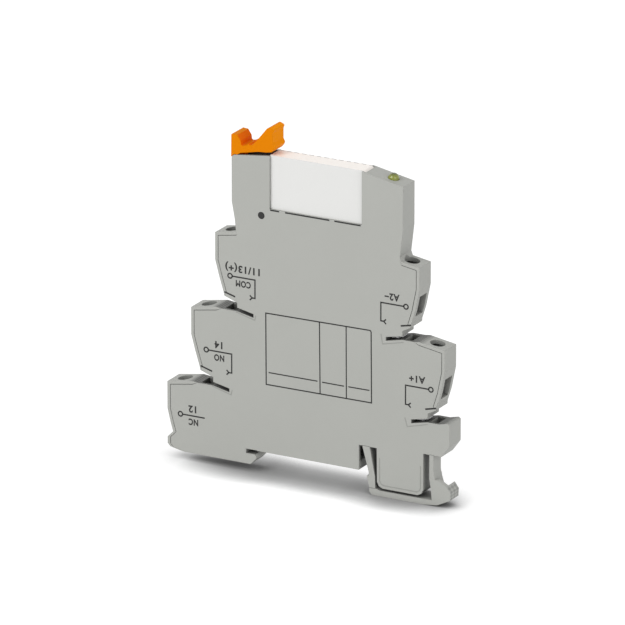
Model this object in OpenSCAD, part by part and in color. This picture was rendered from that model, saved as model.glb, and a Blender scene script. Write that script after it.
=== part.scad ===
// Slim interface relay: a 6.2 mm wide screw terminal module with a plug-in relay.
// X runs along the module, with x = 0 at the middle of the rail. Z is up, and z = 0 is the seat on the rail.
// Y runs through the thickness, and the printed cover faces -Y.

/* [Module] */
// Thickness of the whole module
module_w = 6.2; // [5.6:0.1:8]
// Thickness of the back wall and of the cover
side_t = 0.8; // [0.6:0.05:1]
// Thickness of the outer walls seen from the side
rim_t = 1.1; // [0.9:0.05:1.3]
// Width of the rim that shows round the cover at the terminals
rim_show = 0.8; // [0.5:0.05:0.9]
// Gap between the cover's edge and the rim
cover_gap = 0.14; // [0.08:0.01:0.2]
// General clearance between a loose piece and its seat
fit_gap = 0.1; // [0.06:0.01:0.14]
// Fillet of the lower corners
foot_r = 1.6; // [0.8:0.1:2]

/* [Terminal blocks] */
// Distance from the rail's middle to the lowest left block's outer edge
left_reach = 40.6; // [40:0.1:44]
// Height of that block's outer top corner over the rail
left_base = 14.5; // [14:0.1:16]
// Each higher block on the left stands in by this much
left_step = 7.05; // [6.6:0.05:7.2]
// Height from block to block on the left
left_rise = 21.2; // [20.6:0.1:22]
// Distance from the rail's middle to the highest right block's outer edge
right_reach = 32; // [31:0.1:34]
// Height of the lowest right block's top over the rail
right_base = 15.1; // [14.9:0.1:17.4]
// Each lower block on the right stands out by this much
right_step = 7.3; // [7:0.05:7.6]
// Height from block to block on the right
right_rise = 20.8; // [20.4:0.1:21.2]
// Length of the sloping ledge on top of a block
ledge_run = 7.3; // [7:0.1:7.6]
// Slope of the ledge in degrees, falling outward
ledge_tilt = 9.4; // [6:0.1:12]
// Length of the upright outer edge on the left
left_side = 7.3; // [6.5:0.1:8]
// Length of the upright outer edge on the right
right_side = 5.8; // [5:0.1:7]
// Place of the bend in the slanting outer wall, inward and down from the corner
wall_bend = [1.2, 11.7]; // [1:0.1:12]
// Place of a block's lowest corner, inward and down from the top corner
wall_foot = [2.35, 15.4]; // [2:0.1:16]

/* [Bridge slots] */
// Upper corner of the slot's mouth, inward and up from the corner
mouth_top = [9.7, 4.6]; // [4:0.1:10]
// Height of the slot's inner upper corner over the block's corner
shaft_rise = 3.3; // [3:0.1:3.6]
// Height of the slot's floor over the block's corner
floor_rise = 1; // [0.8:0.1:1.2]
// Distance from the block's corner to the wide part's inner end, on the left
left_shaft = 13.4; // [13:0.1:13.8]
// Distance from the block's corner to the wide part's inner end, on the right
right_shaft = 12.1; // [11.8:0.1:12.6]
// Length of the thin part of the slot
slit_len = 4.7; // [4:0.1:5]
// Height of the thin part of the slot
slit_h = 1; // [0.8:0.05:1.2]
// Slope of the thin part, in degrees
slit_tilt = 12; // [8:0.5:14]
// Depth of the pocket in the slot's floor
pocket_h = 1.5; // [1:0.1:1.6]

/* [Upper body] */
// Left edge of the left post
post_left = -21.65; // [-21.9:0.05:-21.3]
// Left edge of the open relay bay
bay_left = -10.75; // [-11:0.05:-10.5]
// Right edge of the open relay bay
bay_right = 15.6; // [15.5:0.05:16]
// Height of the relay bay's floor over the highest left block's corner
bay_lift = 8.6; // [8:0.1:9]
// Distance from the highest right block's outer edge in to the right post's
post_in = 4.7; // [4.4:0.1:5.4]
// Height of the left post over the bay's floor
left_post_h = 12.9; // [12.6:0.1:13.2]
// Height of the right post over the bay's floor, at the relay
right_post_h = 14.1; // [13.8:0.1:14.4]
// Slope of the right post's top, in degrees
post_slope = 11; // [8:0.5:14]
// Height over the bay's floor where the posts start to narrow downward
bend_lift = 0.5; // [0:0.1:1.2]
// Amount by which they narrow
post_waist = 0.85; // [0.6:0.05:1]
// Radius of the small blind hole in the cover beside the bay
dot_r = 0.95; // [0.7:0.05:1.1]
// Place of that hole, outward and down from the bay's lower left corner
dot_in = [2.4, 2.05]; // [1.8:0.05:3]

/* [Rail foot] */
// Width of the mounting rail over its lips
rail_w = 35; // [35]
// Thickness of the rail's lips
rail_t = 1; // [1]
// Reach of the fixed hook under the lip
hook_reach = 2.8; // [2.4:0.1:3.2]
// Thickness of the fixed hook
hook_t = 2.6; // [2.2:0.1:3]
// The seat ends this much short of the rail's right edge
seat_short = 2.6; // [2.3:0.1:2.9]
// Height of the slots that free the sprung limb
limb_top = 6.7; // [6:0.1:7]
// Thickness of the sprung limb
limb_t = 2.1; // [1.8:0.1:2.2]
// Width of the slots beside the limb at the top
limb_slot = 1; // [0.8:0.1:1.2]
// Thickness of the foot bar
bar_t = 1.5; // [1.3:0.1:1.6]
// Underside of the foot bar
bar_low = -6.1; // [-6.3:0.1:-6]
// Distance from the rail's right edge to the fixed block between the limbs
block_gap = 2.6; // [2.5:0.1:3.1]
// Width of that block
block_w = 13.2; // [12.5:0.1:13.4]
// Underside of the fixed block
foot_block_low = -3.9; // [-4:0.05:-3.8]
// Gap between that block and the upright limb, the neck
neck_gap = 1.75; // [1.6:0.05:2]
// Thickness of the neck
neck_t = 1.2; // [1:0.1:1.6]
// Width of the neck through the module
neck_w = 4; // [3.4:0.1:4.6]
// Distance from the neck's left side to the body's right end
lug_reach = 5.65; // [5.2:0.05:6]
// Width of the release lug's end pad through the module
pad_w = 4.6; // [4:0.1:5]

/* [Screw clamps] */
// Radius of the screwdriver hole
driver_r = 2; // [1.9:0.05:2.05]
// Radius of the screw's shank, for an M3 thread
screw_r = 1.45; // [1.45]
// Radius of the screw's head
head_r = 1.88; // [1.8:0.02:1.9]
// Thickness of the head
head_t = 1.9; // [1.6:0.1:2]
// Depth of the head below the ledge
head_depth = 1.6; // [1.4:0.1:1.8]
// Radial running clearance of the screw in its cage
thread_gap = 0.05; // [0.03:0.01:0.08]
// Width of the clamp cage, along the module
cage_w = 4.6; // [4.2:0.1:4.7]
// Width of the clamp cage, through the thickness
cage_d = 4.2; // [4.1:0.05:4.3]
// Depth of the cage's top below the ledge
cage_top = 6.7; // [6.6:0.1:6.9]
// Height of the cage
cage_h = 7.2; // [7:0.1:7.4]
// Thickness of the cage's sides and foot
cage_t = 0.8; // [0.7:0.05:0.9]
// Thickness of the cage's threaded top
cage_nut_t = 1.2; // [1.1:0.05:1.3]
// Width of the wire entry
entry_w = 3.8; // [3:0.1:3.9]
// Height of the wire entry
entry_h = 5.6; // [5:0.1:6]
// Thickness of the busbars
bar_metal_t = 0.7; // [0.5:0.05:0.8]
// Width of the busbars
bar_metal_w = 2.2; // [1.8:0.1:2.4]

/* [Relay] */
// Length of the relay
relay_l = 28; // [27.8:0.1:28]
// Thickness of the relay
relay_d = 5; // [4.8:0.05:5]
// Height of the relay's case
relay_h = 15; // [14.9:0.05:15]
// Wall of the relay's case
relay_wall = 0.5; // [0.4:0.05:0.6]
// Thickness of the relay's base
relay_base_t = 1.2; // [1:0.1:1.4]
// Chamfer of the case's upper corners
relay_chamfer = 0.7; // [0.5:0.05:0.8]
// Length of the pins below the base
pin_len = 3; // [2.8:0.05:3.1]
// Width of a pin
pin_w = 0.9; // [0.8:0.05:1]
// Thickness of a pin
pin_t = 0.5; // [0.4:0.05:0.6]
// Place of the first contact pin, from the relay's left end
pin_first = 6.1; // [6:0.1:6.4]
// Distance between the contact pins
pin_pitch = 5.04; // [5:0.01:5.08]
// Place of the inner coil pin, from the relay's right end
coil_pin_in = 5.8; // [5.6:0.1:6]
// Place of the outer coil pin, from the relay's right end
coil_pin_out = 2.6; // [2.4:0.1:2.8]
// Radius of the coil's winding
coil_r = 1.75; // [1.6:0.05:1.8]
// Length of the coil's bobbin
coil_l = 12.5; // [12:0.1:12.8]
// Radius of the coil's core
core_r = 0.7; // [0.6:0.05:0.8]
// Height of the coil's axis over the relay's base
coil_z = 3.4; // [3.3:0.05:3.5]
// Thickness of the relay's iron parts
iron_t = 0.8; // [0.7:0.05:0.9]
// Gap between the armature and the core
armature_gap = 0.5; // [0.4:0.05:0.6]
// Thickness of the contact springs
spring_t = 0.25; // [0.2:0.01:0.3]
// Radius of the contact rivets
contact_r = 0.9; // [0.8:0.05:1]
// Thickness of the contact rivets
contact_t = 0.4; // [0.35:0.05:0.45]
// Gap of the open contact
contact_gap = 0.3; // [0.29:0.01:0.34]

/* [Ejector lever] */
// Distance of the lever's pivot below the post's top
pivot_drop = 1; // [0.9:0.05:1.1]
// Radius of the lever's pivot pins
pivot_r = 0.7; // [0.6:0.05:0.75]
// Radial running clearance of the pivot pins
pivot_gap = 0.05; // [0.03:0.01:0.08]
// Width of the lever's grip
lever_w = 5.8; // [5:0.1:6]
// Length of the lever's grip
lever_l = 12.2; // [11.9:0.1:12.5]
// Height of the lever's tip over the post
lever_h = 9.2; // [9:0.1:9.6]
// Width of the lever's lifting arm
arm_w = 2.2; // [1.8:0.1:2.4]
// Thickness of the lifting arm
arm_t = 1.2; // [1:0.1:1.3]

/* [Status light and electronics] */
// Radius of the status light's lens
lens_r = 1.45; // [1.1:0.05:1.6]
// Distance of the lens from the right post's outer edge
lens_in = 4.3; // [4:0.1:5]
// Thickness of the circuit board
board_t = 0.8; // [0.7:0.1:1]
// Width of the circuit board
board_w = 16; // [14:0.5:17]
// Height of the circuit board
board_h = 36; // [34:0.5:38]

/* [Hidden] */

over = module_w / 2;
half_w = module_w / 2;
cover_y = -half_w + side_t;
back_y = half_w - side_t;
cavity_d = module_w - 2 * side_t;
round_fn = 48;
bay_floor = left_base + 2 * left_rise + bay_lift;
post_right = right_reach - post_in;
post_top = bay_floor + left_post_h;
right_post_top = bay_floor + right_post_h;
post_bend = bay_floor + bend_lift;
seat_end = rail_w / 2 - seat_short;
foot_block_left = rail_w / 2 + block_gap;
foot_block_right = foot_block_left + block_w;
neck_left = foot_block_right + neck_gap;
lug_end = neck_left + lug_reach;

housing_grey = [0.69, 0.69, 0.67];
metal = [0.75, 0.75, 0.74];
brass_tone = [0.80, 0.68, 0.40];
white = [0.92, 0.92, 0.91];
orange = [0.93, 0.52, 0.05];

// Terminals in order: 12, 14, 11 on the left from below, then A2 and A1 on the right from above.
function left_corner(level) = [left_reach - level * left_step, left_base + level * left_rise];
function right_corner(level) = [right_reach + (2 - level) * right_step, right_base + level * right_rise];

// Distances from a block's upper outer corner run inward and up. The profiles are drawn for a
// given inset s, by which the cover's recess stands inside the rim at a terminal.
function along(c, d) = [c[0] - d[0], c[1] + d[1]];
ledge_lift = ledge_run * tan(ledge_tilt);

// The slot between two blocks, from its upper mouth round its end to the lip.
function slot_profile(c, shaft) = [
    along(c, mouth_top),
    along(c, [shaft, shaft_rise]),
    along(c, [shaft, floor_rise + slit_h]),
    along(c, [shaft + slit_len, floor_rise + slit_h - slit_len * tan(slit_tilt)]),
    along(c, [shaft + slit_len, floor_rise - slit_len * tan(slit_tilt)]),
    along(c, [shaft, floor_rise]),
    along(c, [ledge_run + 2 * rim_show, floor_rise]),
];

// A point of the ledge, and a block's outer wall from its top corner down.
function ledge_point(c, run, s) = along(c, [run, run * tan(ledge_tilt) - s / cos(ledge_tilt)]);
function wall_profile(c, side, s) = [
    ledge_point(c, s, s),
    along(c, [s, -side]),
    along(c, [wall_bend[0] + s, -wall_bend[1]]),
    along(c, [wall_foot[0] + s, -wall_foot[1]]),
];

lens_x = post_right - lens_in;
top_fall = (post_right - bay_right) * tan(post_slope);
left_2 = left_corner(2);
right_2 = right_corner(2);
right_0 = right_corner(0);
post_foot_right = right_2[0] - ledge_run + 2 * rim_t;

// The pivot sits on the left post's rounded upper corner.
pivot = [post_left + pivot_drop, post_top - pivot_drop];
corner_steps = 6;

// The lowest left block runs down to the hook: its outer wall has a notch and a rounded toe.
toe_top = rim_t - 2 * rim_show;
toe_low = foot_block_low + foot_r;
function low_left_profile(s) = [
    ledge_point(left_corner(0), ledge_run, s),
    ledge_point(left_corner(0), s, s),
    along(left_corner(0), [s, -left_side]),
    [left_reach - rim_show - s, left_base - wall_foot[1] + 6 * rim_show],
    [left_reach - 2 * rim_show - s, rim_t],
    [left_reach - s, toe_top],
    [left_reach - s, toe_low],
    [left_reach - rim_show - s, foot_block_low + rim_show],
    [left_reach - 3 * foot_r, foot_block_low],
    [rail_w / 2 - rim_t, foot_block_low],
    [rail_w / 2 - hook_reach, foot_block_low + hook_t - rim_show],
    [rail_w / 2 - hook_reach + rim_show / 2, -rail_t - fit_gap],
    [rail_w / 2 + 2 * fit_gap, -rail_t - fit_gap],
    [rail_w / 2 + 2 * fit_gap, fit_gap],
    [rail_w / 2 - hook_reach - 2 * fit_gap, fit_gap],
    [rail_w / 2 - hook_reach - 2 * fit_gap, 0],
];

// The left side, with x counted to the left, from the relay bay over the post to the rail.
function left_profile(s) = concat(
    [[-bay_left, bay_floor], [-bay_left, right_post_top]],
    [for (i = [0 : corner_steps])
        [-pivot[0] + pivot_drop * sin(90 * i / corner_steps),
        pivot[1] + pivot_drop * cos(90 * i / corner_steps)]],
    [[-post_left, post_bend], [-post_left - post_waist, left_2[1] + post_waist + 3 * ledge_lift],
        ledge_point(left_2, ledge_run - rim_t, s)],
    wall_profile(left_2, left_side, s), slot_profile(left_corner(1), left_shaft),
    [ledge_point(left_corner(1), ledge_run, s)], wall_profile(left_corner(1), left_side, s),
    slot_profile(left_corner(0), left_shaft), low_left_profile(s));

// The right side, from the relay bay over the post to the lower right block and the fixed foot.
function right_profile(s) = concat(
    [[bay_right, bay_floor], [bay_right, right_post_top], [post_right, right_post_top - top_fall],
        [post_right, post_bend], [post_right - post_waist, right_2[1] + post_waist + ledge_lift],
        ledge_point(right_2, ledge_run - 2 * rim_t, s)],
    wall_profile(right_2, right_side, s), slot_profile(right_corner(1), right_shaft),
    [ledge_point(right_corner(1), ledge_run, s)], wall_profile(right_corner(1), right_side, s),
    [for (p = slot_profile(right_0, right_shaft)) if (p[0] < lug_end - 2 * rim_t) p],
    [[lug_end - 2 * rim_t, right_0[1] + ledge_lift],
    [lug_end - rim_t / 2, right_0[1] + ledge_lift + rim_t / 3],
        [lug_end, right_0[1] + ledge_lift], [lug_end, limb_top + 3.5 * rim_t],
        [lug_end - 2 * rim_t, limb_top + rim_show],
        [foot_block_right, limb_top + rim_show], [foot_block_right, foot_block_low + foot_r],
        [foot_block_right - foot_r / 3, foot_block_low + foot_r / 3],
        [foot_block_right - foot_r, foot_block_low],
        [foot_block_left + foot_r, foot_block_low],
        [foot_block_left + foot_r / 3, foot_block_low + foot_r / 3],
        [foot_block_left, foot_block_low + foot_r],
        [foot_block_left - fit_gap, limb_top],
        [seat_end, limb_top], [seat_end, 0]]);

// The whole side view, for the inset s of its cover.
function reversed(list) = [for (i = [len(list) - 1 : -1 : 0]) list[i]];
function side_view(s) = concat(right_profile(s), [for (p = reversed(left_profile(s))) [-p[0], p[1]]]);

// Extrudes a side profile from y = low to y = high.
module slab(points, low, high) {
    translate([0, high, 0])
        rotate([90, 0, 0])
            linear_extrude(height = high - low) polygon(points);
}

// A block from corner to corner.
module block(a, b) {
    translate(a) cube(b - a);
}

// The frame of one terminal: +X inward along the ledge, -Z down into the block, origin on the ledge.
terminal_corners = [left_corner(0), left_corner(1), left_corner(2), right_corner(2), right_corner(1)];
screw_in = ledge_run / 2;
module at_terminal(i) {
    c = terminal_corners[i];
    mirror([i < 3 ? 0 : 1, 0, 0])
        translate([-c[0], 0, c[1]])
            rotate([0, -ledge_tilt, 0])
                translate([screw_in, 0, 0]) children();
}

chamber_w = cage_w + 2 * fit_gap;
chamber_low = cage_top + cage_h + 2 * fit_gap;
entry_top = cage_top + cage_nut_t + fit_gap;
tongue_z = entry_top + 2 * fit_gap + bar_metal_t / 2;
tongue_u = chamber_w / 2 + 2.5 * rim_t;

module terminal_cuts() {
    block([-chamber_w / 2, cover_y, -chamber_low], [chamber_w / 2, back_y, -rim_t]);
    translate([0, 0, -rim_t - over]) cylinder(r = driver_r, h = rim_t + 2 * over, $fn = round_fn);
    block([-chamber_w, -entry_w / 2, -entry_top - entry_h], [0, entry_w / 2, -entry_top]);
    block([0, -bar_metal_w / 2 - fit_gap, -tongue_z - bar_metal_t / 2 - fit_gap],
        [tongue_u + rim_t, bar_metal_w / 2 + fit_gap, -tongue_z + bar_metal_t / 2 + fit_gap]);
}

// The hollow beside each chamber, which the busbars run through.
function hollow_box(i) = let (c = terminal_corners[i], s = i < 3 ? -1 : 1)
    [s * (c[0] - ledge_run - 2 * rim_t), c[1] - cage_top - cage_h + 2 * rim_t, c[1] - rim_t];
column_left = bay_left - rim_t;
column_right = right_corner(1)[0] - right_shaft - slit_len - 2 * rim_t;
column_low = 2 * rim_t;
socket_low = bay_floor - 6 * rim_t;
socket_left = relay_x0() + pin_first - pin_w - rim_t;

function relay_x0() = (bay_left + bay_right - relay_l) / 2;
relay_left = relay_x0();
relay_right = relay_left + relay_l;
relay_z = bay_floor - rim_show;
relay_top = relay_z + relay_h;
pin_places = [relay_left + pin_first, relay_left + pin_first + pin_pitch,
    relay_left + pin_first + 2 * pin_pitch, relay_right - coil_pin_in, relay_right - coil_pin_out];

module cavity() {
    for (i = [0 : 4]) {
        box = hollow_box(i);
        low_x = i < 3 ? box[0] : column_left;
        high_x = i < 3 ? column_right : box[0];
        block([min(low_x, column_left), cover_y - over, box[1]],
            [max(high_x, column_right), back_y, box[2]]);
    }
    block([column_left, cover_y - over, column_low], [column_right, back_y, socket_low]);
    // Hollow of the right post, with a light shaft up to the lens.
    block([relay_right + rim_t, cover_y - over, socket_low - rim_t],
        [post_right - post_waist - rim_t, back_y, right_post_top - top_fall - rim_t]);
    block([column_right - rim_t, cover_y - over, socket_low - 4 * rim_t],
        [post_foot_right - 2 * rim_t, back_y, socket_low + rim_t]);
    lever_room();
}

arm_room = arm_w / 2 + 2 * fit_gap;

// Room for the lever: an open slot in the post's top, a shaft for its arm and a window under the relay.
module lever_room() {
    block([post_left - over, cover_y, pivot[1] - pivot_drop - fit_gap],
        [relay_left, back_y, post_top + over]);
    block([post_left + rim_t, cover_y, relay_z - 2 * arm_t], [relay_left, back_y, post_top]);
    block([post_left + rim_t, -arm_room, relay_z - 2 * arm_t], [socket_left, arm_room, relay_z + fit_gap]);
}

// The well for the relay, with grooves in both posts.
module relay_well() {
    block([relay_left - fit_gap, -relay_d / 2 - fit_gap / 2, relay_z],
        [relay_right + fit_gap, relay_d / 2 + fit_gap / 2,
        right_post_top + over]);
}

module socket_pockets() {
    for (x = pin_places)
        block([x - pin_w, -pin_w - rim_t / 2, socket_low - over],
            [x + pin_w, pin_w + rim_t / 2, relay_z + over]);
}

lens_z = right_post_top - (lens_x - bay_right) * tan(post_slope);
module at_lens() {
    translate([lens_x, 0, lens_z]) rotate([0, post_slope, 0]) children();
}

// Bearing for the lever's pins, blind in the back wall and in the cover.
bearing_depth = side_t * 0.6;
module pivot_bore() {
    translate([pivot[0], back_y + bearing_depth, pivot[1]])
        rotate([90, 0, 0]) cylinder(r = pivot_r + pivot_gap, h = cavity_d + 2 * bearing_depth,
            $fn = round_fn);
}

// A pocket in each slot's floor takes the root of a plug-in bridge.
module slot_pocket(i) {
    c = bridge_corners[i];
    s = i < 2 ? -1 : 1;
    near = s * (c[0] - ledge_run - 2 * rim_t);
    far = s * (c[0] - (i < 2 ? left_shaft : right_shaft) + rim_show / 2);
    block([min(near, far), cover_y, c[1] + floor_rise - pocket_h],
        [max(near, far), half_w - rim_t, c[1] + floor_rise + slit_h]);
}

module base_shell() {
    color(housing_grey) {
        difference() {
            slab(side_view(0), -half_w, half_w);
            slab(side_view(rim_show), -half_w - over, cover_y);
            cavity();
            relay_well();
            socket_pockets();
            pivot_bore();
            for (i = [0 : 4]) at_terminal(i) terminal_cuts();
            for (i = [0 : 3]) {
                bridge_leg(i, fit_gap);
                slot_pocket(i);
            }
            at_lens() translate([0, 0, -2 * rim_t - over])
                cylinder(r = lens_r + fit_gap / 2, h = 2 * rim_t + 2 * over, $fn = round_fn);
        }
    }
}

module front_cover() {
    color(housing_grey)
        difference() {
            slab(side_view(rim_show + cover_gap), -half_w, cover_y);
            relay_well();
            pivot_bore();
            translate([bay_left - dot_in[0], cover_y - side_t / 3, bay_floor - dot_in[1]])
                rotate([90, 0, 0]) cylinder(r = dot_r, h = over, $fn = round_fn);
        }
}

// The two sprung limbs: a leaning leaf at the rail and an upright neck at the lug.
limb_left = seat_end + limb_slot;
nose_x = rail_w / 2 - rim_show / 2;
limb_end = bar_low + bar_t + rim_show / 2;
neck_top = limb_top + rim_show - fit_gap;
neck_foot = neck_t + rim_show / 2;
neck_back = -half_w + neck_w;
module foot_limbs() {
    color(housing_grey) {
        slab([[limb_left, limb_top - fit_gap], [limb_left + limb_t, limb_top - fit_gap],
            [rail_w / 2 + limb_t - fit_gap, -rail_t], [rail_w / 2 + limb_t, limb_end + fit_gap],
            [rail_w / 2 + rim_show / 2, limb_end + fit_gap],
            [nose_x, -rail_t - 2 * fit_gap], [rail_w / 2 + 3 * fit_gap, -rail_t],
            [rail_w / 2 + 2 * fit_gap, 0]],
            -half_w, half_w);
        slab([[neck_left, neck_top], [neck_left + neck_t, neck_top], [neck_left + neck_t, 2.5 * rim_t],
            [neck_left + neck_foot, rim_t + 2 * fit_gap], [neck_left, rim_t + 2 * fit_gap]],
            -half_w, neck_back);
    }
}

// The foot bar joins both limbs. Its lug is an open pocket for a screwdriver's blade: a plate in
// front, the limb's lower part, a floor and an end pad.
lug_end_low = -3.5 * rim_t;
module foot_bar() {
    color(housing_grey) {
        slab([[foot_block_right, bar_low], [rail_w / 2 + rim_t, bar_low],
            [rail_w / 2 + rim_show / 2, bar_low + rim_show], [rail_w / 2 + rim_show / 2, limb_end],
            [rail_w / 2 + limb_t, limb_end], [foot_block_left + rim_show, bar_low + bar_t],
            [neck_left + 2 * neck_t, bar_low + bar_t], [neck_left + 2 * rim_t, bar_low + rim_show / 2]],
            -half_w, half_w);
        slab([[neck_left, rim_t], [neck_left + 2.5 * rim_t, rim_t - fit_gap],
            [lug_end - rim_show, -2 * fit_gap],
            [lug_end + rim_show / 2, -1.6 * rim_t], [lug_end + rim_show / 3, lug_end_low],
            [neck_left + 2 * rim_t, bar_low + rim_show / 2], [neck_left + rim_show, bar_low + bar_t],
            [neck_left + rim_show / 2, -rim_t]], -half_w, -half_w + 1.5 * side_t);
        slab([[neck_left, rim_t], [neck_left + neck_foot, rim_t], [neck_left + 2 * neck_t, -1.5 * rim_t],
            [neck_left + 2 * neck_t, bar_low + rim_show], [neck_left + rim_show, bar_low + rim_show],
            [neck_left + rim_show / 2, -rim_t]], -half_w, neck_back);
        slab([[neck_left + rim_t, bar_low + rim_show / 2], [neck_left + 2 * rim_t, bar_low + rim_show / 2],
            [lug_end + rim_show / 3, lug_end_low], [lug_end - rim_show, lug_end_low + rim_t],
            [neck_left + rim_t, bar_low + bar_t - fit_gap]], -half_w, -half_w + pad_w);
        slab([[lug_end - rim_show, -2 * fit_gap], [lug_end + rim_show / 2, -1.6 * rim_t],
            [lug_end + rim_show / 3, lug_end_low], [lug_end - rim_show, lug_end_low + rim_t / 2]],
            -half_w, -half_w + pad_w);
    }
}

// The clamps: a captive screw with a slotted head, and the cage that it draws up.
module clamp_screw(i) {
    color(metal)
        at_terminal(i)
            difference() {
                union() {
                    translate([0, 0, -head_depth - head_t]) cylinder(r = head_r, h = head_t,
                        $fn = round_fn);
                    translate([0, 0, -entry_top - fit_gap])
                        cylinder(r = screw_r, h = entry_top + fit_gap - head_depth, $fn = round_fn);
                }
                block([-over, -cage_t / 3, -head_depth - cage_t], [over, cage_t / 3, 0]);
                block([-cage_t / 3, -over, -head_depth - cage_t], [cage_t / 3, over, 0]);
            }
}

module clamp_cage(i) {
    color(metal)
        at_terminal(i)
            difference() {
                block([-cage_w / 2, -cage_d / 2, -cage_top - cage_h], [cage_w / 2, cage_d / 2, -cage_top]);
                block([-over - cage_w, -cage_d / 2 + cage_t, -cage_top - cage_h + cage_t],
                    [over + cage_w, cage_d / 2 - cage_t, -cage_top - cage_nut_t]);
                translate([0, 0, -cage_top - cage_h + cage_t])
                    cylinder(r = screw_r + thread_gap, h = cage_h, $fn = round_fn);
            }
}

// A strip of sheet metal along a side route, as wide as w through the thickness.
module strip(points, t, w) {
    for (i = [0 : len(points) - 2]) {
        a = points[i];
        b = points[i + 1];
        translate([a[0], -w / 2, a[1]])
            rotate([0, -atan2(b[1] - a[1], b[0] - a[0]), 0])
                translate([-t / 2, 0, -t / 2]) cube([norm(b - a) + t, w, t]);
    }
}

// Where a busbar leaves its cage, and the tongue that lies under the screw.
function tongue_end(i) = let (c = terminal_corners[i], s = i < 3 ? 1 : -1)
    [s * (-c[0] + (screw_in + tongue_u) * cos(ledge_tilt) + tongue_z * sin(ledge_tilt)),
        c[1] + (screw_in + tongue_u) * sin(ledge_tilt) - tongue_z * cos(ledge_tilt)];

module tongue(i) {
    at_terminal(i) block([-cage_w / 2, -bar_metal_w / 2, -tongue_z - bar_metal_t / 2],
        [tongue_u, bar_metal_w / 2, -tongue_z + bar_metal_t / 2]);
}

contact_low = socket_low - rim_t;
bar_end = contact_low - bar_metal_t * 1.5;
module busbar(i, route) {
    color(brass_tone) {
        tongue(i);
        strip(concat([tongue_end(i)], route), bar_metal_t, bar_metal_w);
    }
}

// The three contact busbars rise in lanes of their own to the relay's pins.
lane = column_left + 2 * rim_t;
lane_step = 2 * bar_metal_t;
function contact_route(i, order) = let (x = lane + order * lane_step,
    z = contact_low - (2 + 2 * order) * rim_t)
    [[x, tongue_end(i)[1]], [x, z], [pin_places[order], z], [pin_places[order], bar_end]];
module busbar_11() { busbar(2, contact_route(2, 0)); }
module busbar_14() { busbar(1, contact_route(1, 1)); }
module busbar_12() { busbar(0, contact_route(0, 2)); }

// The circuit board stands against the back wall, and the coil busbars end on it.
board_right = column_right - rim_t / 2;
board_left = board_right - board_w;
board_top = contact_low;
board_low = board_top - board_h;
board_front = back_y - fit_gap - board_t;
module coil_busbar(i) {
    x = board_right - rim_t;
    z = tongue_end(i)[1];
    busbar(i, [[x, z]]);
    color(brass_tone) block([x - bar_metal_t / 2, 0, z - bar_metal_t],
        [x + bar_metal_t / 2, board_front, z + bar_metal_t]);
}
module busbar_a2() { coil_busbar(3); }
module busbar_a1() { coil_busbar(4); }

module circuit_board() {
    color([0.20, 0.42, 0.26])
        difference() {
            block([board_left, board_front, board_low], [board_right, board_front + board_t, board_top]);
            translate([board_left + 2 * rim_t, back_y, board_low + 2 * rim_t])
                rotate([90, 0, 0]) cylinder(r = rim_t, h = 2 * over, $fn = round_fn);
        }
}

part_left = board_left + 2.5 * rim_t;
part_right = board_right - 3 * rim_t;
module bridge_rectifier() {
    z = board_low + board_h * 0.45;
    color([0.12, 0.12, 0.13])
        block([part_left, board_front - 2 * side_t, z],
            [part_left + 5 * rim_t, board_front, z + 4.5 * rim_t]);
}
module suppressor_diode() {
    z = board_low + board_h * 0.45;
    color([0.15, 0.15, 0.16])
        block([part_left + 6 * rim_t, board_front - 1.5 * side_t, z + rim_t],
            [part_right, board_front, z + 3 * rim_t]);
}
module series_resistor() {
    r = 1.2 * side_t;
    z = board_low + board_h * 0.68;
    color([0.55, 0.70, 0.78])
        translate([part_left, board_front - r, z]) rotate([0, 90, 0])
            cylinder(r = r, h = part_right - part_left - rim_t, $fn = round_fn);
}
module smoothing_capacitor() {
    r = 1.9 * side_t;
    color([0.18, 0.20, 0.30])
        translate([part_left + 3 * rim_t, board_front - r, board_low + 4 * rim_t])
            cylinder(r = r, h = board_h * 0.22, $fn = round_fn);
}

// Bridge contacts: a leaf in the thin slot with a leg that goes down to the busbar below.
bridge_corners = [left_corner(0), left_corner(1), right_corner(1), right_0];
leaf_t = 0.3 * slit_h;
function bridge_place(i) = let (c = bridge_corners[i],
    s = i < 2 ? -1 : 1, shaft = i < 2 ? left_shaft : right_shaft)
    [s * (c[0] - shaft - slit_len / 2), c[1] + floor_rise - slit_len / 2 * tan(slit_tilt), s];
function leg_end(i) = i == 3 ? right_0[1] - 3 * rim_t
    : [tongue_end(0)[1], tongue_end(1)[1], tongue_end(4)[1]][i] + bar_metal_t / 2;
module bridge_leg(i, gap) {
    b = bridge_place(i);
    block([b[0] - bar_metal_t / 2 - gap, -bar_metal_w / 2 - gap, leg_end(i)],
        [b[0] + bar_metal_t / 2 + gap, bar_metal_w / 2 + gap, b[1] + leaf_t]);
}
module bridge_contact(i) {
    b = bridge_place(i);
    color(metal) {
        translate([b[0], 0, b[1]]) rotate([0, -b[2] * slit_tilt, 0])
            block([-slit_len * 0.35, -bar_metal_w / 2, slit_h * 0.2],
                [slit_len * 0.35, bar_metal_w / 2, slit_h * 0.2 + leaf_t]);
        bridge_leg(i, 0);
    }
}

// Socket contacts: a foot below the socket and two leaves that hold the pin's flat sides.
module socket_contact(k, reach_y) {
    x = pin_places[k];
    leaf = pin_t / 2;
    color(brass_tone) {
        block([x - pin_w * 0.8, -pin_t / 2 - leaf, contact_low - bar_metal_t],
            [x + pin_w * 0.8, reach_y, contact_low]);
        for (y = [-pin_t / 2 - leaf, pin_t / 2 + fit_gap / 5])
            block([x - pin_w / 2, y, contact_low],
                [x + pin_w / 2, y + leaf - fit_gap / 5, relay_z - fit_gap]);
    }
}

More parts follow.
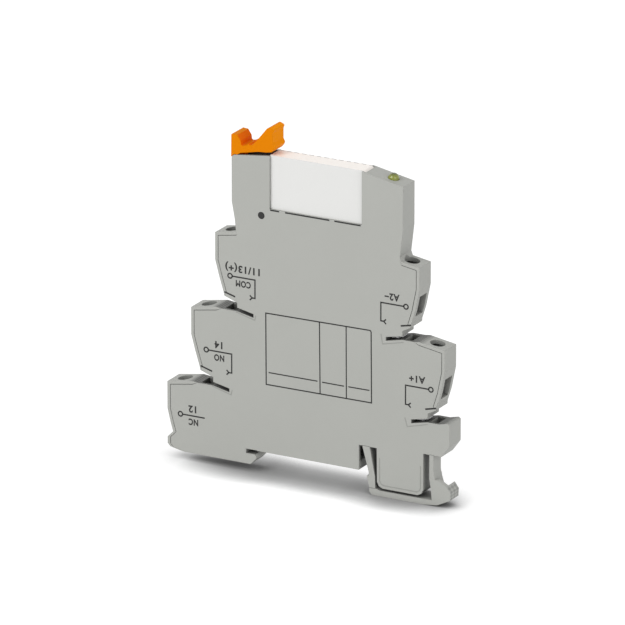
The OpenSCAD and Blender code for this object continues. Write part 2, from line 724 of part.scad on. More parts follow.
// The ejector lever: a grip over the post, drawn in shares of its length and height from the post's corner.
grip_shares = [[-0.016, 0.564], [0.007, 0.592], [0.125, 0.577], [0.155, 0.516], [0.203, 0.424],
    [0.215, 0.309],
    [0.246, 0.286], [0.358, 0.314], [0.389, 0.367], [0.425, 0.333], [0.484, 0.353], [0.62, 0.565],
    [0.825, 0.9],
    [0.86, 0.93], [0.893, 0.932], [0.965, 0.89], [0.981, 0.86], [0.957, 0.778], [0.957, 0.486],
    [0.995, 0.391],
    [0.981, 0.33], [0.929, 0.238], [0.81, 0.209], [0.62, 0.19], [0.2, 0.075]];
knuckle_r = pivot_drop + fit_gap;
wrap_steps = 6;
wrap_from = 70;
wrap_to = 160;
toe_x = relay_left - pivot[0] + 0.6 * rim_t;
toe_z = relay_z - fit_gap - pivot[1];
arm_x = 2 * rim_t;
module ejector_lever() {
    corner = [post_left, post_top];
    wrap = [for (i = [0 : wrap_steps])
        pivot + knuckle_r * [cos(wrap_from + (wrap_to - wrap_from) * i / wrap_steps),
            sin(wrap_from + (wrap_to - wrap_from) * i / wrap_steps)]];
    color(orange) {
        slab(concat([for (q = grip_shares) corner + [q[0] * lever_l, q[1] * lever_h]], wrap,
            [pivot + knuckle_r * [-1.15, 0.35]]), -lever_w / 2, lever_w / 2);
        translate([pivot[0], 0, pivot[1]]) {
            rotate([90, 0, 0]) cylinder(r = pivot_r, h = cavity_d + 2 * bearing_depth - 2 * fit_gap,
                center = true, $fn = round_fn);
            rotate([90, 0, 0]) cylinder(r = pivot_drop - fit_gap / 2, h = arm_w, center = true,
                $fn = round_fn);
            slab([[-pivot_drop * 0.8, 0], [pivot_drop * 0.8, 0], [arm_x, knuckle_r], [arm_x, 2 * knuckle_r],
                [-pivot_drop * 0.8, 2 * knuckle_r]], -arm_w / 2, arm_w / 2);
            slab([[-pivot_drop * 0.6, -pivot_drop * 0.7], [pivot_drop * 0.7, pivot_drop * 0.6],
                [arm_x + arm_t, -arm_t], [arm_x + arm_t, toe_z], [toe_x, toe_z], [toe_x, toe_z - arm_t / 3],
                [toe_x - arm_t, toe_z - arm_t], [arm_x, toe_z - arm_t], [arm_x, -2 * arm_t]],
                -arm_w / 2, arm_w / 2);
        }
    }
}

// Status light: a domed lens pressed into the sloping top, over a small light on two leads.
lens_h = 3 * rim_t;
module status_lens() {
    color([0.80, 0.86, 0.25])
        at_lens() {
            translate([0, 0, -lens_h]) cylinder(r = lens_r, h = lens_h, $fn = round_fn);
            intersection() {
                sphere(r = lens_r, $fn = round_fn);
                block([-over, -over, -rim_t], [over, over, over]);
            }
        }
}
led_r = lens_r * 0.9;
lead_t = bar_metal_t / 2;
module status_led() {
    z = lens_z - lens_h - 5 * rim_t;
    color([0.85, 0.85, 0.70]) {
        translate([lens_x, 0, z]) cylinder(r = led_r, h = 3 * rim_t, $fn = round_fn);
        translate([lens_x, 0, z + 3 * rim_t]) sphere(r = led_r, $fn = round_fn);
    }
    for (side = [-1, 1]) {
        y = side * led_r / 2;
        foot_z = contact_low - (2 + side) * rim_show * 1.2;
        color(metal) {
            block([lens_x - lead_t, y - lead_t / 2, foot_z], [lens_x, y + lead_t / 2, z]);
            block([board_right - rim_t, y - lead_t / 2, foot_z], [lens_x, y + lead_t / 2, foot_z + lead_t]);
            block([board_right - rim_t, y - lead_t / 2, foot_z],
                [board_right - rim_t + lead_t, board_front, foot_z + lead_t]);
        }
    }
}

// The relay's case is a thin cap, open below, with chamfered upper corners.
function case_view(w) = [[relay_left + w, relay_z], [relay_left + w, relay_top - w - relay_chamfer],
    [relay_left + w + relay_chamfer, relay_top - w], [relay_right - w - relay_chamfer, relay_top - w],
    [relay_right - w, relay_top - w - relay_chamfer], [relay_right - w, relay_z]];
module relay_case() {
    color(white)
        difference() {
            slab(case_view(0), -relay_d / 2, relay_d / 2);
            slab(concat([for (q = case_view(relay_wall)) q[1] > relay_z ? q : q - [0, over]]),
                -relay_d / 2 + relay_wall, relay_d / 2 - relay_wall);
        }
}

base_z = relay_z + relay_base_t;
in_left = relay_left + relay_wall;
in_right = relay_right - relay_wall;
in_y = relay_d / 2 - relay_wall;
module pin_blade(x, top) {
    block([x - pin_w / 2, -pin_t / 2, relay_z - pin_len], [x + pin_w / 2, pin_t / 2, top]);
}
module relay_base() {
    color([0.88, 0.88, 0.86])
        difference() {
            block([in_left, -in_y, relay_z], [in_right, in_y, base_z]);
            for (x = pin_places)
                block([x - pin_w / 2, -pin_t / 2, relay_z - over],
                    [x + pin_w / 2, pin_t / 2, base_z + over]);
        }
}

// The magnet: coil on its bobbin, core riveted in the yoke, armature rocking on the yoke's end.
axis_z = base_z + coil_z;
coil_right = in_right - iron_t - fit_gap;
coil_left = coil_right - coil_l;
flange = in_y - fit_gap;
flange_t = iron_t;
tube_r = core_r + spring_t;
core_left = coil_left - 3 * fit_gap;
armature_right = core_left - armature_gap;
armature_left = armature_right - iron_t;
yoke_top = axis_z + flange + 3 * fit_gap + iron_t;
yoke_left = armature_right + 2 * fit_gap;
module along_x(x, r, length) {
    translate([x, 0, axis_z]) rotate([0, 90, 0]) cylinder(r = r, h = length, $fn = round_fn);
}
module coil_bobbin() {
    color([0.85, 0.83, 0.75])
        difference() {
            union() {
                along_x(coil_left, tube_r, coil_l);
                for (x = [coil_left, coil_right - flange_t])
                    block([x, -flange, axis_z - flange], [x + flange_t, flange, axis_z + flange]);
            }
            along_x(coil_left - over, core_r + fit_gap / 5, coil_l + 2 * over);
        }
}
module coil_winding() {
    color([0.72, 0.36, 0.16])
        difference() {
            along_x(coil_left + flange_t, coil_r, coil_l - 2 * flange_t);
            along_x(coil_left, tube_r, coil_l);
        }
}
module coil_core() {
    color(metal) along_x(core_left, core_r, coil_right - core_left + iron_t);
}
module relay_yoke() {
    color(metal)
        difference() {
            union() {
                block([coil_right, -flange, axis_z - flange], [coil_right + iron_t, flange, yoke_top]);
                block([yoke_left, -flange, yoke_top - iron_t], [coil_right + iron_t, flange, yoke_top]);
            }
            along_x(coil_right - over, core_r, iron_t + 2 * over);
        }
}
card_low = yoke_top + 3 * iron_t;
card_t = iron_t;
module relay_armature() {
    color(metal)
        block([armature_left, -flange + fit_gap, axis_z - core_r - rim_t],
            [armature_right, flange - fit_gap, card_low + 2 * card_t]);
}

// The contacts: the card pushes the moving spring from the closed contact over to the open one.
spring_x = pin_places[0] + pin_w / 2 - spring_t;
rivet_z = card_low - 2 * contact_r;
foot_t = 0.6 * iron_t;
rivet_nc = spring_x + spring_t + contact_t + fit_gap / 2;
rivet_no = spring_x - contact_t - contact_gap;
module pusher_card() {
    color([0.80, 0.30, 0.25])
        block([spring_x + spring_t + fit_gap / 2, -flange + 3 * fit_gap, card_low],
            [armature_left - fit_gap, flange - 3 * fit_gap, card_low + card_t]);
}
module rivet(x) {
    translate([x, 0, rivet_z]) rotate([0, 90, 0]) cylinder(r = contact_r, h = contact_t, $fn = round_fn);
}
module moving_spring() {
    color([0.83, 0.62, 0.40])
        block([spring_x, -contact_r - fit_gap, base_z + 2 * iron_t],
            [spring_x + spring_t, contact_r + fit_gap, card_low + 2 * card_t]);
    color(metal) {
        rivet(spring_x - contact_t);
        rivet(spring_x + spring_t);
    }
}
module contact_pin_com() {
    color(brass_tone) {
        pin_blade(pin_places[0], base_z);
        block([pin_places[0] - pin_w / 2, -contact_r + fit_gap, base_z],
            [pin_places[0] + pin_w / 2, contact_r - fit_gap, base_z + foot_t]);
        block([spring_x - iron_t / 2, -contact_r + fit_gap, base_z + foot_t],
            [spring_x + spring_t, contact_r - fit_gap, base_z + 2 * iron_t]);
    }
}

// A fixed contact: its pin, a runner on the base on one side, an upright blade and its rivet.
module fixed_contact(x, side, blade_x, rivet_x) {
    run_y = in_y - 2 * foot_t - fit_gap;
    color(brass_tone) {
        pin_blade(x, base_z);
        block([x - pin_w / 2, min(-side * pin_t / 2, side * in_y - side * fit_gap), base_z],
            [x + pin_w / 2, max(-side * pin_t / 2, side * in_y - side * fit_gap), base_z + foot_t]);
        block([blade_x, min(side * run_y, side * (in_y - fit_gap)), base_z],
            [x + pin_w / 2, max(side * run_y, side * (in_y - fit_gap)), base_z + foot_t]);
        block([blade_x, min(side * run_y, side * (in_y - fit_gap)), base_z],
            [blade_x + foot_t, max(side * run_y, side * (in_y - fit_gap)), base_z + 3 * foot_t]);
        block([blade_x, -flange + fit_gap, base_z + 2 * foot_t],
            [blade_x + foot_t, flange - fit_gap, rivet_z + contact_r + fit_gap]);
    }
    color(metal) rivet(rivet_x);
}
module contact_pin_no() { fixed_contact(pin_places[1],
    -1, rivet_no - contact_t - foot_t, rivet_no - contact_t); }
module contact_pin_nc() { fixed_contact(pin_places[2], 1, rivet_nc + contact_t, rivet_nc); }
module coil_pins() {
    color(brass_tone)
        for (k = [3, 4]) pin_blade(pin_places[k], base_z + foot_t);
}

base_shell();
front_cover();
foot_limbs();
foot_bar();
ejector_lever();
status_lens();
status_led();
circuit_board();
bridge_rectifier();
series_resistor();
suppressor_diode();
smoothing_capacitor();
busbar_12();
busbar_14();
busbar_11();
busbar_a2();
busbar_a1();
clamp_screw(0);  // clamp_screw_12
clamp_screw(1);  // clamp_screw_14
clamp_screw(2);  // clamp_screw_11
clamp_screw(3);  // clamp_screw_a2
clamp_screw(4);  // clamp_screw_a1
clamp_cage(0);  // clamp_cage_12
clamp_cage(1);  // clamp_cage_14
clamp_cage(2);  // clamp_cage_11
clamp_cage(3);  // clamp_cage_a2
clamp_cage(4);  // clamp_cage_a1
bridge_contact(0);  // bridge_contact_12
bridge_contact(1);  // bridge_contact_14
bridge_contact(2);  // bridge_contact_a1
bridge_contact(3);  // bridge_contact_a2
socket_contact(0, pin_t);  // socket_contact_11
socket_contact(1, pin_t);  // socket_contact_14
socket_contact(2, pin_t);  // socket_contact_12
socket_contact(3, board_front);  // socket_contact_a1
socket_contact(4, board_front);  // socket_contact_a2
relay_case();
relay_base();
coil_pins();
contact_pin_nc();
contact_pin_com();
contact_pin_no();
moving_spring();
coil_bobbin();
coil_winding();
coil_core();
relay_yoke();
relay_armature();
pusher_card();
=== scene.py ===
import math

import bmesh
import bpy
from mathutils import Matrix, Vector


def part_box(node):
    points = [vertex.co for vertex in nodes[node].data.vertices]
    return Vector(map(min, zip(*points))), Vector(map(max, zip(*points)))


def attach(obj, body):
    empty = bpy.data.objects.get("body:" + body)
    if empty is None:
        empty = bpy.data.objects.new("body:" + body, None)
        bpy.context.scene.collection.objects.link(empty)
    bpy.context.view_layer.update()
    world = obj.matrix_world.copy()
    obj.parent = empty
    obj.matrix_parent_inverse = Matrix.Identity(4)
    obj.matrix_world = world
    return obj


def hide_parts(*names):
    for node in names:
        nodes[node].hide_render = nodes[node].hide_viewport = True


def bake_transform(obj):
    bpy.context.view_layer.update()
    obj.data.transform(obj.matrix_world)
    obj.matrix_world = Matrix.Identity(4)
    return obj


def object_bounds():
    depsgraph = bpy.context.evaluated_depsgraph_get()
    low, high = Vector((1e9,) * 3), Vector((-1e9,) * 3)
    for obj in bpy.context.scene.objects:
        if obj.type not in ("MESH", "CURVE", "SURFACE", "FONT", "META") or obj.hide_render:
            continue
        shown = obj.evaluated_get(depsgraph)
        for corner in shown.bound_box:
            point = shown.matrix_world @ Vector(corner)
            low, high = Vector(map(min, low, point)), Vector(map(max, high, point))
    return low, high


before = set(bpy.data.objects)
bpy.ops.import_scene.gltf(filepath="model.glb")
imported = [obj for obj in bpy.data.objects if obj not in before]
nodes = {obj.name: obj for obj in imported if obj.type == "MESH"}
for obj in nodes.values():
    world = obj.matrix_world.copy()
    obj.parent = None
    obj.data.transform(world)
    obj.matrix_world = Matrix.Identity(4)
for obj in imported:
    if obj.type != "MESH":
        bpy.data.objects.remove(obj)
cad_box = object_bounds()
MM = 0.001

# The view: the printed side seen from the right and a little above, through a long lens.
# The module stands in front of a white ground, as in a catalogue picture.
scene = bpy.context.scene
scene.view_settings.view_transform = "Standard"
view_round = math.radians(28.42)
view_height = math.radians(19.13)
px_per_mm = 3.937
lens, sensor = 540, 36
picture = 625
rail_px = (307.1, 460.2)
back = Vector((math.sin(view_round) * math.cos(view_height),
               -math.cos(view_round) * math.cos(view_height), math.sin(view_height)))
right = Vector((math.cos(view_round), math.sin(view_round), 0))
up = back.cross(right)
aim = (Vector((0, -3.1 * MM, 0)) + right * (picture / 2 - rail_px[0]) / px_per_mm * MM
       + up * (rail_px[1] - picture / 2) / px_per_mm * MM)
distance = picture / px_per_mm * MM * lens / sensor
camera = bpy.data.objects.new("camera", bpy.data.cameras.new("camera"))
camera.data.lens = lens
camera.data.sensor_width = sensor
camera.data.clip_start = 0.01
camera.location = aim + back * distance
camera.rotation_mode = "QUATERNION"
camera.rotation_quaternion = (-back).to_track_quat("-Z", "Y")
scene.collection.objects.link(camera)
scene.camera = camera


# Finishes are built from node trees. A Wire is one output, and sums on it add Math nodes.
# A Look is a material, or the sky, with the nodes that lead to its shader.
class Wire:
    def __init__(self, look, socket):
        self.look, self.socket = look, socket

    def sum(self, operation, first, second):
        return self.look.node("Math", {"operation": operation}, {0: first, 1: second})[0]

    def __add__(self, other):
        return self.sum("ADD", self, other)

    def __sub__(self, other):
        return self.sum("SUBTRACT", self, other)

    def __mul__(self, other):
        return self.sum("MULTIPLY", self, other)

    def __pow__(self, other):
        return self.sum("POWER", self, other)

    def __gt__(self, other):
        return self.sum("GREATER_THAN", self, other)

    def __abs__(self):
        return self.sum("ABSOLUTE", self, 0)

    def near(self, middle, reach):
        """One within the reach of the middle, and nought beyond it."""
        return self.look.node("Math", {"operation": "COMPARE"}, {0: self, 1: middle, 2: reach})[0]

    def waves(self, pitch):
        """A sine along this length, with one wave to each pitch."""
        return self.sum("SINE", self * (2 * math.pi / pitch), 0)

    def ramp(self, low, high, to=(0, 1)):
        """This value spread from low and high to the two ends given, and held beyond them."""
        ends = {"Value": self, "From Min": low, "From Max": high, "To Min": to[0], "To Max": to[1]}
        return self.look.node("MapRange", {"clamp": True}, ends)[0]

    def axes(self):
        return self.look.node("SeparateXYZ", None, {0: self})

    __radd__ = __add__


class Look:
    def __init__(self, name):
        self.material = bpy.data.materials.new(name)
        self.material.use_nodes = True
        self.tree = self.material.node_tree
        self.shader = self.tree.nodes["Principled BSDF"]

    def node(self, kind, settings=None, values=None):
        made = self.tree.nodes.new("ShaderNode" + kind)
        for key, value in (settings or {}).items():
            setattr(made, key, value)
        for key, value in (values or {}).items():
            self.put(made.inputs[key], value)
        return [Wire(self, s) for s in made.outputs]

    def put(self, socket, value):
        if isinstance(value, Wire):
            self.tree.links.new(value.socket, socket)
        else:
            socket.default_value = value

    def set(self, **values):
        for key, value in values.items():
            self.put(self.shader.inputs[key.replace("_", " ")], value)
        return self

    def place(self):
        """The place on the piece, as it lies at rest."""
        return self.node("TexCoord")[3]

    def facing(self):
        """The way the surface faces, as three wires."""
        return self.node("NewGeometry")[1].axes()

    def base(self):
        """The base colour as it is wired so far."""
        return Wire(self, self.shader.inputs["Base Color"].links[0].from_socket)

    def noise(self, scale, detail=2.0):
        return self.node("TexNoise", None, {"Vector": self.place(), "Scale": scale, "Detail": detail})[0]

    def mix(self, share, low, high):
        made = self.tree.nodes.new("ShaderNodeMix")
        made.data_type = "RGBA"
        for key, value in ((0, share), (6, low), (7, high)):
            self.put(made.inputs[key], value)
        return Wire(self, made.outputs[2])


def colour(red, green, blue, share=1.0):
    """A colour picked as the screen shows it, made linear."""
    return tuple(min(1, share * (v / 255 / 12.92 if v < 11 else ((v / 255 + 0.055) / 1.055) ** 2.4))
                 for v in (red, green, blue)) + (1,)


# The ground is white to the camera. The module's soft shadow on it is partly cast by the lamps and partly
# painted into its glow.
# A wide pale sky gives most of the light, and two large lamps shape the narrow walls.
ground_z = cad_box[0].z - 0.02 * MM
ground = bpy.data.meshes.new("ground")
ground_reach = 2
corners = [(x * ground_reach, y * ground_reach, ground_z) for x, y in ((-1, -1), (1, -1), (1, 1), (-1, 1))]
ground.from_pydata(corners, [], [(0, 1, 2, 3)])
floor = bpy.data.objects.new("floor", ground)
scene.collection.objects.link(floor)
pale = Look("ground")
rays = pale.node("LightPath")
seen = rays[0] + rays[3] + rays[6]
pale.set(Base_Color=pale.mix(seen, (0.8, 0.8, 0.8, 1), (0.3, 0.3, 0.3, 1)),
         Roughness=0.9, Specular_IOR_Level=0.1)
# Ambient occlusion dims the ground's glow near the module, as painted shadow.
painted_shadow_ao = pale.node("AmbientOcclusion", {"samples": 16}, {"Distance": 11 * MM})[1]
# The painted shadow in the glow is deepest under the middle of the module and softer beyond both its ends.
shadow_middle, shadow_full, shadow_end = 6 * MM, 20 * MM, 42 * MM
along = pale.node("NewGeometry")[0].axes()[0]
depth = abs(along - shadow_middle).ramp(shadow_full, shadow_end, (5.2, 0.8))
glow = pale.node("Emission", None, {"Color": (1, 1, 1, 1), "Strength": seen * painted_shadow_ao ** depth * 0.84})
both = pale.node("AddShader", None, {0: Wire(pale, pale.shader.outputs[0]), 1: glow[0]})
pale.put(pale.tree.nodes["Material Output"].inputs["Surface"], both[0])
floor.data.materials.append(pale.material)

world = bpy.data.worlds.new("studio")
scene.world = world
world.use_nodes = True
sky = Look("sky")
sky.tree = world.node_tree
sky_light = world.node_tree.nodes["Background"]
path = sky.node("LightPath")
sky.put(sky_light.inputs["Color"], (1, 1, 1, 1))
sky.put(sky_light.inputs["Strength"], (path[0] + path[3] + path[6]) * 0.42 + 0.58)


def lamp(name, place, power, size):
    light = bpy.data.lights.new(name, "AREA")
    light.energy, light.size = power, size
    made = bpy.data.objects.new(name, light)
    made.location = place
    made.rotation_mode = "QUATERNION"
    made.rotation_quaternion = (Vector(place) - aim).to_track_quat("Z", "Y")
    scene.collection.objects.link(made)


lamp("key", (-0.5, -1.0, 0.9), 9, 0.8)
lamp("fill", (1.1, -0.5, 0.5), 3.5, 0.8)


# The housing: a shell and a cover moulded in light grey plastic with a fine spark-eroded skin.
# Mould edges are a little rounded, which the Bevel node shows.
def moulded(name, tone, rough=0.55, grain=0.3, drift=0.03, shade_tone=None):
    """Moulded plastic. Its colour deepens to the shade tone in corners, slots and holes, as painted shade.
    """
    look = Look(name)
    low, high = colour(*tone, share=1 - drift), colour(*tone, share=1 + drift)
    face = look.mix(look.noise(70, 3), low, high)
    # Ambient occlusion sets where the painted shade darkens the colour.
    painted_shade_ao = look.node("AmbientOcclusion", {"samples": 8}, {"Distance": 6 * MM})[1]
    clear = painted_shade_ao.ramp(0.12, 0.6)
    edge = look.node("Bevel", {"samples": 4}, {"Radius": 0.12 * MM})
    skin = look.node("Bump", None, {"Strength": grain, "Distance": 0.02 * MM, "Height": look.noise(5200, 3),
                                    "Normal": edge[0]})
    return look.set(Base_Color=look.mix(clear, colour(*(shade_tone or [v * 0.5 for v in tone])), face),
                    Roughness=look.noise(900, 2) * 0.12 + (rough - 0.06), Normal=skin[0])


def dress(finish, *names):
    for name in names:
        slots = nodes[name].data.materials
        slots.clear()
        slots.append(finish.material)


housing_grey = moulded("housing_grey", (171, 172, 167))
spot = housing_grey.place().axes()
# Each ledge carries fine ribs toward the mouth of its bridge slot, and painted shade darkens it there. A
# block is given by its side, the place of its outer corner and the height of its ledge there, in mm.
ledge_lift, ledge_reach, dark_start, dark_full, rib_pitch = 1.2, 1.4, 5.8, 7.6, 0.5984 * MM
mouth_painted_shade = 0
for way, corner_x, corner_z in ((1, -40.6, 14.5), (1, -33.55, 35.7), (-1, 39.3, 35.9), (-1, 46.6, 15.1)):
    level = spot[2].near((corner_z + ledge_lift) * MM, ledge_reach * MM)
    inward = spot[0] * way
    inward = inward.ramp((way * corner_x + dark_start) * MM, (way * corner_x + dark_full) * MM)
    mouth_painted_shade = mouth_painted_shade + level * (spot[0] * -way > 0) * inward
upward = housing_grey.facing()[2] > 0.6
ribbed = (spot[0].waves(rib_pitch) > 0) * 0.25 + 0.6
# The ledges by the slot mouths take painted shade; the ribs vary how dark it is.
dark = colour(52, 52, 50)
housing_grey.set(Base_Color=housing_grey.mix(mouth_painted_shade * upward * ribbed, housing_grey.base(), dark))
dress(housing_grey, "base_shell", "front_cover")

# The foot bar closes the foot below and carries a lug that is pulled to free the rail.
# The lug has a knurled end face for the thumb: a fine diamond pattern in the moulding.
foot_grey = moulded("foot_grey", (171, 172, 167))
spot = foot_grey.place().axes()
knurl_across, knurl_up, knurl_depth = 3.206 * MM, 1.8 * MM, 1.1 * MM
slopes = [(spot[1] * (knurl_up / knurl_across) + spot[2] * way).waves(knurl_up) for way in (1, -1)]
outer = foot_grey.node("NewGeometry")[0].axes()[0]
# The grooves are not cut: half the diamonds are painted darker, as painted shade of the grooves.
knurl_painted_shade = (slopes[0] * slopes[1] > 0) * (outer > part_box("foot_bar")[1][0] - knurl_depth)
turned = foot_grey.facing()[0] > 0.3
foot_grey.set(Base_Color=foot_grey.mix(knurl_painted_shade * turned * 0.5, foot_grey.base(), colour(104, 105, 103)))
dress(foot_grey, "foot_bar")

# The two limbs of the rail foot are thin walls of the same moulding. They bend as the foot slides,
# so a finely cut copy stands in for the stiff CAD node.
limb_cuts, limb_split, limb_root = 24, 30 * MM, 0.2 * MM
flex = bmesh.new()
flex.from_mesh(nodes["foot_limbs"].data)
limb_low, limb_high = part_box("foot_limbs")
for k in range(1, limb_cuts):
    z = limb_low[2] + (limb_high[2] - limb_low[2]) * k / limb_cuts
    everything = flex.verts[:] + flex.edges[:] + flex.faces[:]
    bmesh.ops.bisect_plane(flex, geom=everything, plane_co=(0, 0, z), plane_no=(0, 0, 1))
# Both ends of each limb run on into the housing and the foot bar, so that no gap shows.
for far in (False, True):
    limb = [v for v in flex.verts if (v.co.x >= limb_split) == far]
    low, high = min(v.co.z for v in limb), max(v.co.z for v in limb)
    for v in limb:
        v.co.z += limb_root * ((v.co.z > high - 0.01 * MM) - (v.co.z < low + 0.01 * MM))
limb_mesh = bpy.data.meshes.new("limbs")
flex.to_mesh(limb_mesh)
flex.free()
limb_mesh.materials.clear()
limb_mesh.materials.append(housing_grey.material)
limbs = bpy.data.objects.new("limbs", limb_mesh)
scene.collection.objects.link(limbs)
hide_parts("foot_limbs")
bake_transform(limbs)

# Printing on the cover: the terminal marks, the pole lines and a ruled table, in thin black ink.
# It reads from the other way up and stands a hair proud of the cover.
print_and_shade_ink = Look("print_and_shade_ink")
print_and_shade_ink.set(Base_Color=colour(26, 26, 25), Roughness=0.6)
ink_proud, ink_depth = 0.012 * MM, 0.02 * MM
ink_face = cad_box[0].y - ink_proud


def ink_piece(name, mesh, finish=print_and_shade_ink):
    mesh.materials.clear()
    mesh.materials.append(finish.material)
    made = bpy.data.objects.new(name, mesh)
    scene.collection.objects.link(made)
    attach(made, "housing")


def ribbon(name, paths, width, finish=print_and_shade_ink):
    """Flat lines through points in mm on the cover, inked or of the given finish."""
    mesh = bmesh.new()
    for path in paths:
        closed = path[0] == path[-1]
        points = [Vector(p) for p in (path[:-1] if closed else path)]
        count = len(points)
        rows = []
        for i, p in enumerate(points):
            before = ((points[i] - points[i - 1]) if i or closed else (points[1] - p)).normalized()
            after = (points[(i + 1) % count] - p).normalized() if i < count - 1 or closed else before
            side = Vector((-(before + after).y, (before + after).x)).normalized()
            side *= width / 2 / max(0.4, side.dot(Vector((-before.y, before.x))))
            row = [(p + s * side, ink_face + d * ink_depth) for s, d in ((1, 0), (-1, 0), (-1, 1), (1, 1))]
            rows.append([mesh.verts.new((edge.x * MM, y, edge.y * MM)) for edge, y in row])
        for i in range(count if closed else count - 1):
            a, b = rows[i], rows[(i + 1) % count]
            for k in range(4):
                mesh.faces.new((a[k], a[(k + 1) % 4], b[(k + 1) % 4], b[k]))
        if not closed:
            mesh.faces.new(rows[0][::-1])
            mesh.faces.new(rows[-1])
    bmesh.ops.recalc_face_normals(mesh, faces=mesh.faces[:])
    data = bpy.data.meshes.new(name)
    mesh.to_mesh(data)
    mesh.free()
    ink_piece(name, data, finish)


def mark(name, words, middle, height, stretch, stroke=0.19):
    """Words the other way up, centred on a point in mm on the cover."""
    font = bpy.data.curves.new(name, "FONT")
    font.body = words
    font.size = height / 0.7 * MM
    font.extrude = ink_depth / 2
    font.bevel_depth = stroke / 2 * MM
    font.align_x, font.align_y = "CENTER", "CENTER"
    font.space_character = 1.1
    holder = bpy.data.objects.new(name, font)
    scene.collection.objects.link(holder)
    solid = holder.evaluated_get(bpy.context.evaluated_depsgraph_get())
    data = bpy.data.meshes.new_from_object(solid)
    bpy.data.objects.remove(holder)
    data.transform(Matrix.Translation((middle[0] * MM, ink_face + ink_depth / 2, middle[1] * MM))
                   @ Matrix.Rotation(math.pi, 4, "Y") @ Matrix.Rotation(math.pi / 2, 4, "X")
                   @ Matrix.Diagonal((stretch, 1, ink_depth / (ink_depth + stroke * MM), 1)))
    ink_piece(name, data)


def ring(centre, radius, steps=20):
    turns = [2 * math.pi * k / steps for k in range(steps)] + [0]
    return [(centre[0] + radius * math.cos(t), centre[1] + radius * math.sin(t)) for t in turns]


line_w, ring_r = 0.38, 0.62
for number, eye, corner, foot in (("14", (-29.2, 24.9), -21.8, 19.8), ("11", (-22.2, 45.9), -15, 41),
                                  ("a2", (28.25, 45.9), 21.1, 41), ("a1", (35.4, 25), 28.2, 19.9)):
    way = 1 if corner > eye[0] else -1
    tip = corner - way * 0.85
    barb = tip - way * 0.65
    arm = [(eye[0] + way * ring_r, eye[1]), (corner, eye[1]), (corner, foot), (tip, foot)]
    ribbon("pole_" + number, [arm, [(barb, foot + 0.6), (tip, foot), (barb, foot - 0.68)]], line_w)
    ribbon("eye_" + number, [ring(eye, ring_r)], line_w)
eye_12 = (-36.8, 6.25)
ribbon("pole_12", [[(eye_12[0] + ring_r, eye_12[1]), (-29.7, eye_12[1])]], line_w)
ribbon("eye_12", [ring(eye_12, ring_r)], line_w)
for name, words, middle, height, stretch in (
        ("word_14", "14", (-25.4, 26.8), 1.8, 1), ("word_no", "NO", (-25.4, 23.35), 1.6, 0.8),
        ("word_12", "12", (-33.1, 8.15), 1.8, 1), ("word_nc", "NC", (-33, 4.65), 1.6, 0.82),
        ("word_11", "11/13(+)", (-18.4, 48.2), 1.8, 1.06), ("word_com", "COM", (-18.4, 44.3), 1.6, 0.8),
        ("word_a2", "A2\u2212", (24.2, 47.9), 1.75, 0.9), ("word_a1", "A1+", (31.4, 27.2), 1.75, 0.98)):
    mark(name, words, middle, height, stretch)

# Shallow steps in the moulding frame each slot and the foot's block.
# They are too low to cast a shadow; painted shade draws their edges as faint grey lines.
step_edge_shade = moulded("step_edge_shade", (152, 153, 148))
ribbon("steps", [[(-14.8, 36.45), (-15.1, 35.1), (-20.5, 36.5)],
                 [(-21.7, 15.25), (-22, 13.9), (-27.4, 15.3)],
                 [(21.16, 37.48), (21.6, 34.9), (27.6, 36.3)], [(28.04, 16.33), (28.7, 14), (34.6, 15.6)],
                 [(20.85, 4.2), (20.85, -1.9), (21.3, -2.75), (22, -3.05),
                  (31.4, -3.05), (32.2, -2.7), (32.55, -1.9), (32.55, 4)]],
       width=0.26, finish=step_edge_shade)

# A small dimple lies beside the relay, where the mould's pin stood.
# It is not cut in; a dark disc of painted shade stands for it.
dimple_r = 0.9
ribbon("dimple", [ring((-13.15, 63.45), dimple_r / 2)], width=dimple_r)

# A short printed stroke underlines each block beside its slot,
# and a broken dark line of painted shade follows the foot of the relay, where a shadowed gap lies.
for number, start, end in (("12", (-30.88, 20.29), (-27.49, 19.32)),
                           ("14", (-23.86, 41.36), (-20.72, 40.49)),
                           ("a2", (26.76, 40.56), (29.73, 41.2)),
                           ("a1", (33.83, 19.53), (36.95, 20.28))):
    ribbon("stroke_" + number, [[start, end]], width=0.44)
# The broken line at the relay's foot is painted shade, not print.
relay_gap_shade_z = 65.28
dashes = [[(a, relay_gap_shade_z), (b, relay_gap_shade_z)] for a, b in ((-10.6, -8), (-6.3, 6.4), (7.8, 15.3))]
ribbon("relay_gap_shade", dashes, width=0.4)

# The ruled table in the middle of the cover is printed in thin lines.
# It has three columns and one row of short heads, and stands upside down as the words do.
ribbon("table_frame", [[(-11.9, 37.6), (17.8, 37.9), (18.2, 37.8), (18.35, 37.5),
                        (18.5, 18.6), (-11.8, 18.45), (-11.9, 37.6)]], width=0.34)
ribbon("table_rules", [[(3.55, 37.7), (3.75, 18.55)], [(11.2, 37.8), (11.3, 18.6)],
                       [(-11.1, 21.75), (3, 21.8)], [(4.3, 21.75), (10.65, 21.75)],
                       [(11.85, 21.8), (17.9, 21.85)]], width=0.32)

# The ejector lever is moulded in orange plastic; it turns on two pins in the left post.
# The walls that face right take painted light and shade: redder at the notch, yellower at the finger end.
lever_orange = moulded("lever_orange", (225, 129, 3), rough=0.5, grain=0.12, drift=0.05, shade_tone=(222, 90, 0))
right_face_painted_light = lever_orange.facing()[0] > 0.3
finger_end = lever_orange.place().axes()[0] > -14 * MM
right_wall_painted_tone = lever_orange.mix(finger_end, colour(240, 110, 0), colour(249, 149, 0))
lever_orange.set(Base_Color=lever_orange.mix(right_face_painted_light * 0.85, lever_orange.base(), right_wall_painted_tone),
                 Specular_IOR_Level=0.03)
dress(lever_orange, "ejector_lever")

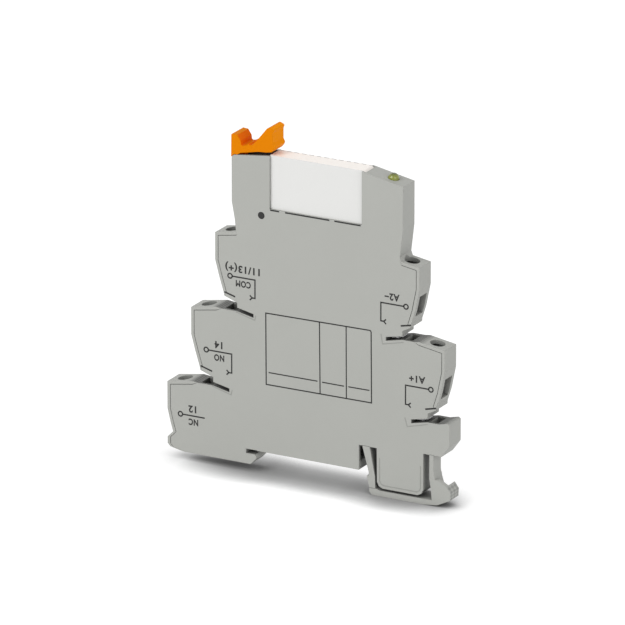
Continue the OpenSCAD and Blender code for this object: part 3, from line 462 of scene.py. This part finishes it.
# The plug-in relay's case is a smooth white cap, and its base closes it below.
# Its top is painted lighter, as painted light, with fine dashes along the rear edge.
relay_white = moulded("relay_white", (224, 224, 222), rough=0.36, grain=0.08, drift=0.015,
                      shade_tone=(200, 200, 198))
spot = relay_white.place().axes()
dash_pitch, dash_width = 2.13 * MM, 0.36 * MM
rear = (spot[0].waves(dash_pitch) > -0.4) * (spot[1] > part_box("relay_case")[1][1] - dash_width)
top_painted_light = relay_white.mix(rear * 0.8, colour(255, 249, 243), colour(120, 118, 114))
relay_white.set(Base_Color=relay_white.mix(relay_white.facing()[2] > 0.6, relay_white.base(), top_painted_light))
dress(relay_white, "relay_case", "relay_base")

# The status light: a clear yellow-green dome over the light on its two leads.
# Its crown is painted dark, as the post's dark inside seen through it, and its flanks take painted light.
lens_green = Look("lens_green")
flank_painted_light = lens_green.facing()[2].ramp(0.97, 0.55)
lens_green.set(Base_Color=lens_green.mix(flank_painted_light, colour(90, 98, 30), colour(160, 168, 50)),
               Roughness=lens_green.noise(500) * 0.08 + 0.08, Transmission_Weight=0.35, Coat_Weight=0.6,
               Subsurface_Weight=0.15, Subsurface_Radius=(0.001, 0.001, 0.0005))
dress(lens_green, "status_lens")


# Metal parts are stamped or turned: brass for the current paths, tinned where a bridge plugs in,
# zinc-plated steel for the clamps and the magnet, and a copper alloy for the moving spring.
def stamped(name, tone, rough, streak=300, metal=1.0):
    look = Look(name)
    cloud = look.noise(streak, 4)
    return look.set(Base_Color=look.mix(cloud, colour(*tone, share=0.88), colour(*tone, share=1.08)),
                    Roughness=look.noise(streak * 4) * 0.16 + (rough - 0.08), Metallic=metal)


brass = stamped("brass", (203, 168, 98), 0.34)
tinned = stamped("tinned", (222, 222, 222), 0.34, metal=0.7)
zinc = stamped("zinc_steel", (200, 203, 206), 0.4, metal=0.55)
copper = stamped("spring_bronze", (206, 150, 104), 0.32)
wire = stamped("wound_wire", (190, 96, 50), 0.4, 2500)
terminals = ("12", "14", "11", "a2", "a1")
for t in terminals:
    dress(zinc, "clamp_screw_" + t, "clamp_cage_" + t)
    dress(brass, "busbar_" + t, "socket_contact_" + t)
dress(tinned, *("bridge_contact_" + t for t in ("12", "14", "a1", "a2")))
dress(zinc, "coil_core", "relay_yoke", "relay_armature")
dress(brass, "coil_pins", "contact_pin_nc", "contact_pin_com", "contact_pin_no")
dress(copper, "moving_spring")
dress(wire, "coil_winding")

# Inside are the circuit board and its parts, the relay's bobbin and its card.
# They are moulded, or lacquered over, and their colours are those usual for such parts.
dress(moulded("board_green", (64, 120, 74), rough=0.35, grain=0.1), "circuit_board")
dress(moulded("epoxy_black", (40, 40, 42), rough=0.5), "bridge_rectifier", "suppressor_diode")
dress(moulded("resistor_blue", (140, 180, 200), rough=0.3, grain=0.05), "series_resistor")
dress(moulded("capacitor_sleeve", (52, 56, 82), rough=0.3, grain=0.05), "smoothing_capacitor")
dress(moulded("clear_resin", (222, 222, 180), rough=0.2, grain=0.0), "status_led")
dress(moulded("bobbin_natural", (218, 212, 192), rough=0.45), "coil_bobbin")
dress(moulded("card_red", (204, 80, 66), rough=0.45), "pusher_card")
